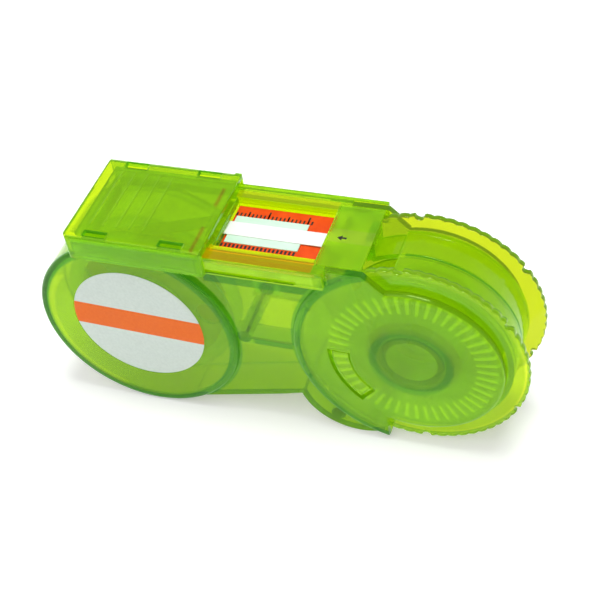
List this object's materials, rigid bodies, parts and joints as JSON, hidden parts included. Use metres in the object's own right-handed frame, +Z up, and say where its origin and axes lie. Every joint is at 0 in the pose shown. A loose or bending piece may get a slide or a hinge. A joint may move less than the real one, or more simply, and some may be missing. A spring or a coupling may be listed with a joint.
{
  "type": "fibre optic cleaning cassette",
  "caption": "Hand-held reel cleaner for fibre optic connectors: cleaning tape wound by a thumbwheel past a window under a sliding shutter.",
  "frame": {"origin": "middle of the case's length and width, at the height of its lowest point", "axes": "+X along the case towards the thumbwheel, +Y from the labelled face towards the plain rear face, +Z up towards the sliding shutter"},
  "size_m": [0.1254, 0.0306, 0.0587],
  "materials": {
    "clear_green_case": "clear tinted gloss",
    "clear_green_wheel": "clear tinted gloss",
    "orange_plate": "satin",
    "pad_rubber": "matte",
    "white_tape": "woven matte",
    "white_roller": "satin",
    "grey_felt": "matte",
    "spring_steel": "bright",
    "label_paper": "satin film"
  },
  "bodies": {
    "case": {"front_shell": "clear_green_case", "rear_shell": "clear_green_case", "top_deck": "clear_green_case", "wheel_guard_front": "clear_green_case", "wheel_guard_rear": "clear_green_case", "scale_plate": "orange_plate", "platen_pad": "pad_rubber", "cleaning_tape": "white_tape", "drag_felt": "grey_felt", "drag_spring": "spring_steel", "guide_pin_left": "spring_steel", "guide_pin_right": "spring_steel", "front_label": "label_paper"},
    "shutter": {"sliding_shutter": "clear_green_case"},
    "wheel": {"thumbwheel_front": "clear_green_wheel", "thumbwheel_rear": "clear_green_wheel", "take_up_spool": "clear_green_wheel", "used_tape_roll": "white_tape"},
    "supply_reel": {"supply_spool": "clear_green_wheel", "supply_spool_cover": "clear_green_wheel", "fresh_tape_roll": "white_tape"},
    "roller_left": {"guide_roller_left": "white_roller"},
    "roller_right": {"guide_roller_right": "white_roller"},
    "pawl": {"click_pawl": "clear_green_case"}
  },
  "joints": [
    {"name": "shutter_slide", "type": "slide", "parent": "case", "child": "shutter", "axis": [1, 0, 0], "range_m": [0, 0.0268]},
    {"name": "thumbwheel_turn", "type": "hinge", "parent": "case", "child": "wheel", "pos_m": [0.0349, 0, 0.0293], "axis": [0, -1, 0], "continuous": true},
    {"name": "supply_turn", "type": "hinge", "parent": "case", "child": "supply_reel", "pos_m": [-0.036, 0, 0.0267], "axis": [0, -1, 0], "continuous": true},
    {"name": "roller_left_turn", "type": "hinge", "parent": "case", "child": "roller_left", "pos_m": [-0.01454, 0, 0.0514], "axis": [0, -1, 0], "continuous": true},
    {"name": "roller_right_turn", "type": "hinge", "parent": "case", "child": "roller_right", "pos_m": [0.01566, 0, 0.0514], "axis": [0, -1, 0], "continuous": true},
    {"name": "pawl_flex", "type": "hinge", "parent": "case", "child": "pawl", "pos_m": [0.01756, -0.01235, 0.02991], "axis": [-0.9994, 0, 0.0349], "range_deg": [0, 4], "stiffness_Nm_per_rad": 0.05}
  ],
  "couplings": [
    {"joint": "supply_turn", "follows": "thumbwheel_turn", "ratio": -0.6474},
    {"joint": "roller_left_turn", "follows": "thumbwheel_turn", "ratio": -6.15},
    {"joint": "roller_right_turn", "follows": "thumbwheel_turn", "ratio": -6.15}
  ]
}
